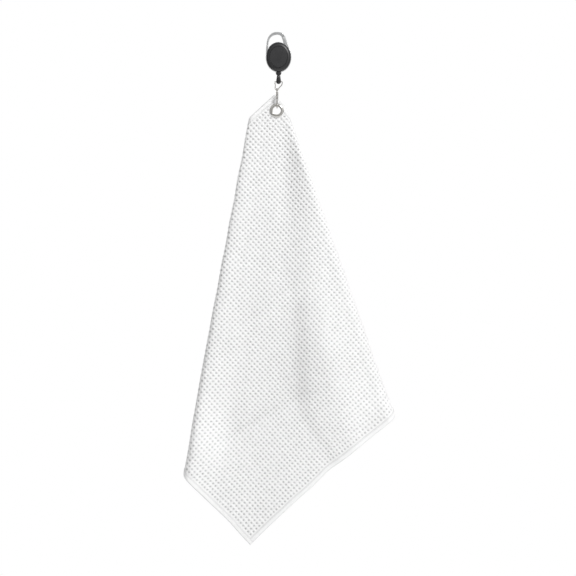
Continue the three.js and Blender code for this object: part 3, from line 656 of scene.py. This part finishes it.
# %% Lockstitches on both faces of every tape
THREAD_SIDES = 6
STITCH_SHARE = 0.84
STITCH_RINGS = np.array([  # share of the stitch, radius, height over the tape
    (0.0, 0.08, -0.1), (0.12, 0.19, 0.04), (0.5, 0.23, 0.11), (0.88, 0.19, 0.04), (1.0, 0.08, -0.1),
])


def stitch_row(place, laps_start, laps_end, side):
    """All stitches of one tape on one face: points, quads and places on the cloth."""
    starts = np.arange(4.5, TOWEL_SIDE - 6, STITCH_PITCH)
    around = 2 * np.pi * np.arange(THREAD_SIDES) / THREAD_SIDES
    share, radius, rise = STITCH_RINGS.T
    t = starts[:, None, None] + share[:, None] * STITCH_PITCH * STITCH_SHARE + 0 * around
    w = STITCH_LINE + radius[:, None] * np.cos(around) + 0 * t
    height = 0.98 * lap_swell(t, laps_start, laps_end) + rise[:, None] + radius[:, None] * np.sin(around)
    points = sheet_point(place, t, w, side * height)
    rings = len(STITCH_RINGS)
    one = grid_quads(rings, THREAD_SIDES, wrap_columns=True)
    cap = np.array([[0, 1, 2, 3], [0, 3, 4, 5]])
    one = np.concatenate([one, cap[:, ::-1], cap + (rings - 1) * THREAD_SIDES])
    quads = (one[None] + np.arange(len(starts))[:, None, None] * rings * THREAD_SIDES).reshape(-1, 4)
    if side > 0:
        quads = quads[:, ::-1]
    return points.reshape(-1, 3), quads, np.stack([t, w, 0 * t], axis=-1).reshape(-1, 3)


rows = [stitch_row(*row, side) for row in TAPES.values() for side in (-1, 1)]
starts = np.cumsum([0] + [len(points) for points, _, _ in rows[:-1]])
stitching = make_piece(
    "hem_stitching", np.concatenate([row[0] for row in rows]),
    np.concatenate([quads + start for (_, quads, _), start in zip(rows, starts)]),
    FABRICS["thread"], "hem", (), np.concatenate([row[2] for row in rows]))
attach(stitching, "towel")

# %% [markdown]
# ## The grommet
#
# A nickel-plated brass eyelet goes through the corner, and its barrel is rolled over a washer on the
# back. Both are turned shapes, so a few section points are rounded into a smooth curve and turned
# about the hole's axis.

# %% Turned shapes
def rounded(points, per_span, closed=False):
    """A centripetal Catmull-Rom curve through points, which is how a bent wire or a rolled edge runs."""
    points = np.asarray(points, float)
    if closed:
        padded = np.concatenate([points[-1:], points, points[:2]])
    else:
        padded = np.concatenate([[2 * points[0] - points[1]], points, [2 * points[-1] - points[-2]]])
    curve = []
    for p0, p1, p2, p3 in zip(padded, padded[1:], padded[2:], padded[3:]):
        k1, k2, k3 = np.cumsum([np.linalg.norm(q - p) ** 0.5 for p, q in ((p0, p1), (p1, p2), (p2, p3))])
        for k in np.linspace(k1, k2, per_span, endpoint=False):
            a1, a2 = p0 + (p1 - p0) * k / k1, p1 + (p2 - p1) * (k - k1) / (k2 - k1)
            a3 = p2 + (p3 - p2) * (k - k2) / (k3 - k2)
            b1, b2 = a1 + (a2 - a1) * k / k2, a2 + (a3 - a2) * (k - k1) / (k3 - k1)
            curve.append(b1 + (b2 - b1) * (k - k1) / (k2 - k1))
    return np.array(curve if closed else curve + [points[-1]])


def turned_ring(section, centre, segments):
    """A closed section of (radius, y) turned about the line along Y through centre (x, z)."""
    turn = 2 * np.pi * np.arange(segments) / segments
    r, y = section[None, :, 0], section[None, :, 1]
    x = centre[0] + r * np.cos(turn)[:, None]
    z = centre[1] + r * np.sin(turn)[:, None]
    points = np.stack([x, y + 0 * x, z], axis=-1).reshape(-1, 3)
    return points, grid_quads(segments, section.shape[0], True, True)


EYELET = [
    (5.1, 1.3), (5.1, 0.0), (5.1, -1.2), (5.3, -1.62), (5.9, -1.86), (6.7, -1.92), (7.5, -1.82),
    (8.2, -1.5), (8.7, -1.1), (8.62, -0.96), (8.1, -1.02), (6.8, -1.12), (5.8, -1.02), (5.5, -0.8),
    (5.5, 0.9), (5.65, 1.24), (6.3, 1.3), (6.75, 1.34), (6.6, 1.58), (6.0, 1.7), (5.4, 1.6),
]
WASHER = [(6.0, 1.0), (7.4, 0.98), (8.6, 0.93), (8.78, 1.02), (8.5, 1.16), (7.4, 1.22), (6.0, 1.2)]
eyelet = make_piece("rolled_eyelet", *turned_ring(rounded(EYELET, 4, True), GROMMET, 96),
                    METALS["nickel"], "nickel", ["grommet_eyelet"])
washer = make_piece("grommet_back_washer", *turned_ring(rounded(WASHER, 4, True), GROMMET, 96),
                    METALS["nickel"], "nickel", ["grommet_washer"])
for ring in (eyelet, washer):
    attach(ring, "towel")

# %% [markdown]
# ## Wire and cord
#
# The ring is bent from round wire, and the cord is a thin nylon braid. Both are a circle swept along a
# line. The cord leaves the side of the winding, runs straight down through the outlet and ends at its
# knot in the cord end. On the real reel more of it unwinds when the towel is pulled out.

# %% Swept tubes
def swept(path, radius, sides, closed=False):
    """A round tube along a path in the plane y = constant or any smooth path: points and quads."""
    ahead = np.roll(path, -1, axis=0) - np.roll(path, 1, axis=0)
    if not closed:
        ahead[0], ahead[-1] = path[1] - path[0], path[-1] - path[-2]
    ahead /= np.linalg.norm(ahead, axis=1, keepdims=True)
    across = [np.cross(ahead[0], [0.0, 1.0, 0.001])]
    for direction in ahead[1:]:
        across.append(across[-1] - direction * (across[-1] @ direction))
    across = np.array(across)
    across /= np.linalg.norm(across, axis=1, keepdims=True)
    third = np.cross(ahead, across)
    turn = 2 * np.pi * np.arange(sides) / sides
    around = across[:, None] * np.cos(turn)[:, None] + third[:, None] * np.sin(turn)[:, None]
    points = (path[:, None] + radius * around).reshape(-1, 3)
    quads = grid_quads(len(path), sides, closed, True)
    if not closed:
        i = np.arange(1, sides // 2)
        cap = np.stack([i - 1, i, sides - 1 - i, (sides - i) % sides], axis=-1)
        quads = np.concatenate([quads, cap[:, ::-1], cap + (len(path) - 1) * sides])
    return points, quads


REEL_X, HOOK_X, RING_Z, EYE_Z = 0.6, -1.3, -59.5, -70.4
RING_WIRE = 0.64
top_x = REEL_X + 0.05
ring_line = [
    (top_x - 3.2, RING_Z), (top_x, RING_Z), (top_x + 3.2, RING_Z), (top_x + 4.3, RING_Z - 0.4),
    (top_x + 4.7, RING_Z - 1.5), (top_x + 4.1, -64), (HOOK_X + 2.3, -68.4), (HOOK_X + 1.9, -69.8),
    (HOOK_X + 1.1, EYE_Z), (HOOK_X, EYE_Z), (HOOK_X - 1.1, EYE_Z), (HOOK_X - 1.9, -69.8),
    (HOOK_X - 2.3, -68.4), (top_x - 4.3, -64), (top_x - 4.7, RING_Z - 1.5), (top_x - 4.3, RING_Z - 0.4),
]
ring_path = rounded([(x, 0, z) for x, z in ring_line], 8, closed=True)
wire_ring = make_piece("bent_wire_ring", *swept(ring_path, RING_WIRE, 16, closed=True),
                       METALS["nickel"], "nickel", ["swivel_ring"])
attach(wire_ring, "ring")

# %% The cord, from the winding to its knot
REEL_Z, CORD_R, WRAP_R = -28.7, 0.4, 10.6
OUTLET_TOP, OUTLET_END, KNOT_TOP, KNOT = -44.7, -51.6, -54.4, -54.7
swing = math.acos(WRAP_R / (REEL_Z - OUTLET_TOP))
leave = np.array([REEL_X + WRAP_R * math.sin(swing), 0, REEL_Z - WRAP_R * math.cos(swing)])
mouth = np.array([REEL_X + 0.15, 0, -44.9])
cord_path = rounded([leave, (leave + mouth) / 2, mouth, (REEL_X, 0, -46.2), (REEL_X, 0, -49),
                     (REEL_X, 0, -51.8), (REEL_X, 0, KNOT)], 10)
run = np.concatenate([[0], np.cumsum(np.linalg.norm(np.diff(cord_path, axis=0), axis=1))])
CORD_SIDES = 12
turn = 2 * np.pi * CORD_R * np.arange(CORD_SIDES) / CORD_SIDES
braid = np.stack(np.broadcast_arrays(run[:, None] + turn, run[:, None] - turn, 0 * turn), axis=-1)
lead = make_piece("cord_run", *swept(cord_path, CORD_R, CORD_SIDES), FABRICS["cord"], "cord",
                  ["cord_lead"], braid.reshape(-1, 3))
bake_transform(lead)
print(f"cord: {run[-1]:.1f} mm from the winding to the knot")

# %% [markdown]
# ## The hard pieces
#
# The covers, frame, hook and gates already have their true shape in the frame, with every hole and boss,
# so they stay. A small node modifier joins their faces and shades the curved ones smoothly while real
# corners stay crisp. A real moulding has no perfectly sharp edge, and an edge without a radius catches
# no light, so a bevel modifier rounds each edge by about a tenth of a millimetre, and weighted normals
# keep the flat faces flat. The frame isn't bevelled: its loop meets the oval at too sharp an angle.

# %% Edge rounding and shading for CAD nodes
WELD_MM = 0.01


def shading_by_angle(limit):
    """A node modifier's tree: joins the faces, then shades them smooth up to an angle between them."""
    tree = bpy.data.node_groups.new("shade_smooth_by_angle", "GeometryNodeTree")
    tree.interface.new_socket("Geometry", in_out="INPUT", socket_type="NodeSocketGeometry")
    tree.interface.new_socket("Geometry", in_out="OUTPUT", socket_type="NodeSocketGeometry")
    start = add_node(tree, "GroupInput", family="Node")
    welded = add_node(tree, "MergeByDistance", {}, {
        "Geometry": start.outputs["Geometry"], "Distance": WELD_MM * MM}, family="GeometryNode")
    bare = add_node(tree, "RemoveAttribute", {}, {
        "Geometry": welded.outputs["Geometry"], "Name": "custom_normal"}, family="GeometryNode")
    faces = add_node(tree, "SetShadeSmooth", {"domain": "FACE"}, {
        "Geometry": bare.outputs["Geometry"], "Shade Smooth": True}, family="GeometryNode")
    every = add_node(tree, "SetShadeSmooth", {"domain": "EDGE"}, {
        "Geometry": faces.outputs["Geometry"], "Shade Smooth": True}, family="GeometryNode")
    angle = add_node(tree, "InputMeshEdgeAngle", family="GeometryNode")
    sharp = add_node(tree, "Compare", {"data_type": "FLOAT", "operation": "GREATER_THAN"}, {
        "A": angle.outputs["Unsigned Angle"], "B": limit}, family="FunctionNode")
    edges = add_node(tree, "SetShadeSmooth", {"domain": "EDGE"}, {
        "Geometry": every.outputs["Geometry"], "Selection": sharp.outputs["Result"],
        "Shade Smooth": False}, family="GeometryNode")
    add_node(tree, "GroupOutput", inputs={"Geometry": edges.outputs["Geometry"]}, family="Node")
    return tree


SHARP_ANGLE = math.radians(50)
SHADING = shading_by_angle(SHARP_ANGLE)

FINISHES = {**METALS, **PLASTICS, **FABRICS}
HARD_PIECES = {  # node: finish, radius of its edges in millimetres
    "carabiner_frame": ("cast_frame", 0),
    "carabiner_gate": ("cast_frame", 0.08),
    "front_cover": ("housing", 0.12),
    "back_cover": ("housing", 0.12),
    "face_badge": ("badge", 0.08),
    "cord_outlet": ("housing", 0.12),
    "cord_end": ("cord_end", 0.12),
    "spool": ("spool", 0.1),
    "spool_axle": ("steel", 0.08),
    "mainspring": ("spring_steel", 0),
    "gate_pin": ("steel", 0.06),
    "gate_spring": ("spring_steel", 0),
    "cord_winding": ("cord", 0),
    "cord_knot": ("cord", 0),
    "swivel_eye": ("nickel", 0.06),
    "snap_hook": ("nickel", 0.06),
    "hook_gate": ("nickel", 0.06),
    "hook_gate_pin": ("steel", 0.05),
    "hook_spring": ("spring_steel", 0),
}
for name, (finish, radius) in HARD_PIECES.items():
    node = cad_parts[name]
    node.material_slots[0].link = "OBJECT"
    node.material_slots[0].material = FINISHES[finish]
    node.modifiers.new("shading", "NODES").node_group = SHADING
    if radius:
        bevel = node.modifiers.new("edge_radius", "BEVEL")
        bevel.width = radius * MM
        bevel.segments = 2
        bevel.limit_method = "ANGLE"
        bevel.angle_limit = SHARP_ANGLE
        bevel.use_clamp_overlap = False
    weigh = node.modifiers.new("flat_faces_stay_flat", "WEIGHTED_NORMAL")
    weigh.keep_sharp = True
print("hard pieces finished:", len(HARD_PIECES))

# %% [markdown]
# ## Studio
#
# A white product needs a bright, even room that still has a direction. The world has bright banks in
# front and behind, with a dimmer gap in the middle of each, and is dim at the sides, so a fold that
# turns aside darkens and metal has something dark to reflect at its edges. All of it is stronger to the
# upper right. One lamp at the upper right draws the folds, and a weak one fills the back. What the lens
# itself sees of the world is plain white. The floor is a round sheet of opal acrylic, far enough below
# to stay clear when the cord is pulled out.

# %% World, lamps and floor
BRIGHT_SIDE = (0.64, 0.0, 0.77)
HEART = (0, 0, -0.35)  # the middle of the object, which the lamps point at

world = bpy.data.worlds.new("studio")
bpy.context.scene.world = world
world.use_nodes = True
world.node_tree.nodes.clear()
room = world.node_tree


def ramp(value, start, end, low, high, curve="SMOOTHSTEP"):
    """The output that goes from low to high as value goes from start to end."""
    return add_node(room, "MapRange", {"interpolation_type": curve}, {
        "Value": value, "From Min": start, "From Max": end, "To Min": low, "To Max": high,
    }).outputs["Result"]


def product(first, second):
    """The output that is two outputs multiplied."""
    return add_node(room, "Math", {"operation": "MULTIPLY"}, {0: first, 1: second}).outputs[0]


towards = add_node(room, "TexCoord").outputs["Generated"]
direction = add_node(room, "SeparateXYZ", inputs={"Vector": towards})
level = add_node(room, "Math", {"operation": "ABSOLUTE"}, {0: direction.outputs["Y"]}).outputs[0]
aside = add_node(room, "VectorMath", {"operation": "DOT_PRODUCT"}, {0: towards, 1: BRIGHT_SIDE})
banks = ramp(level, 0.0, 0.75, 0.27, 0.94)
gap = ramp(level, 0.82, 0.97, 1.0, 0.55)
tilt = ramp(aside.outputs["Value"], -0.8, 0.8, 0.62, 1.25, "LINEAR")
glow = product(product(banks, tilt), gap)
seen = add_node(room, "LightPath").outputs["Is Camera Ray"]
strength = add_node(room, "MixRGB", inputs={
    "Fac": seen, "Color1": glow, "Color2": (1.0, 1.0, 1.0, 1.0)})
light = add_node(room, "Background", inputs={"Color": strength.outputs["Color"], "Strength": 1.0})
add_node(room, "OutputWorld", inputs={"Surface": light.outputs["Background"]})


def area_lamp(name, place, target, width, power):
    """A square soft lamp that points at target."""
    lamp = bpy.data.lights.new(name, "AREA")
    lamp.size, lamp.energy = width, power
    holder = bpy.data.objects.new(name, lamp)
    bpy.context.scene.collection.objects.link(holder)
    holder.location = place
    aim = np.subtract(target, place)
    holder.rotation_euler = (math.acos(-aim[2] / np.linalg.norm(aim)), 0, math.atan2(-aim[0], aim[1]))
    return holder


area_lamp("key", (1.2, -1.5, 1.15), HEART, 0.6, 33)
area_lamp("back_fill", (-1.3, 1.9, 0.3), HEART, 0.9, 12)

floor_material, tree = start_material("opal_acrylic")
haze = add_node(tree, "TexNoise", inputs={"Scale": 3.0, "Detail": 2.0})
white = add_node(tree, "MixRGB", inputs={
    "Fac": haze.outputs["Fac"], "Color1": linear("#F6F6F5"), "Color2": linear("#F2F2F2")})
finish_material(tree, {
    "Base Color": white.outputs["Color"], "Roughness": 0.6, "Emission Color": (1.0, 1.0, 1.0, 1.0),
    "Emission Strength": 0.45})
FLOOR_Z, FLOOR_RADIUS = -1.35, 1.4
bpy.ops.mesh.primitive_circle_add(vertices=128, radius=FLOOR_RADIUS, fill_type="NGON",
                                  location=(0, 0, FLOOR_Z))
floor = bpy.context.object
floor.name = "floor"
floor.data.materials.append(floor_material)
floor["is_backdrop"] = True

# %% [markdown]
# ## Camera
#
# A long lens straight in front, level with the middle of the towel, so that the folds' edges are drawn
# without perspective. The picture is 737 mm high at the towel.

# %% Camera and view
PICTURE_HEIGHT, PICTURE_CENTRE = 0.737, (0.0127, -0.324)
camera_data = bpy.data.cameras.new("camera")
camera_data.lens, camera_data.sensor_width = 150, 36  # both in millimetres
camera = bpy.data.objects.new("camera", camera_data)
bpy.context.scene.collection.objects.link(camera)
distance = PICTURE_HEIGHT * camera_data.lens / camera_data.sensor_width
camera.location = (PICTURE_CENTRE[0], -distance, PICTURE_CENTRE[1])
camera.rotation_euler = (math.pi / 2, 0, 0)
bpy.context.scene.camera = camera
bpy.context.scene.view_settings.view_transform = "Standard"
print(f"camera {distance:.2f} m away")

# %% Sizes and the end
visual_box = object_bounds()
for corner, cad, seen_box in zip(("lowest", "highest"), cad_box, visual_box):
    print(corner, [round(v / MM, 1) for v in cad], [round(v / MM, 1) for v in seen_box])
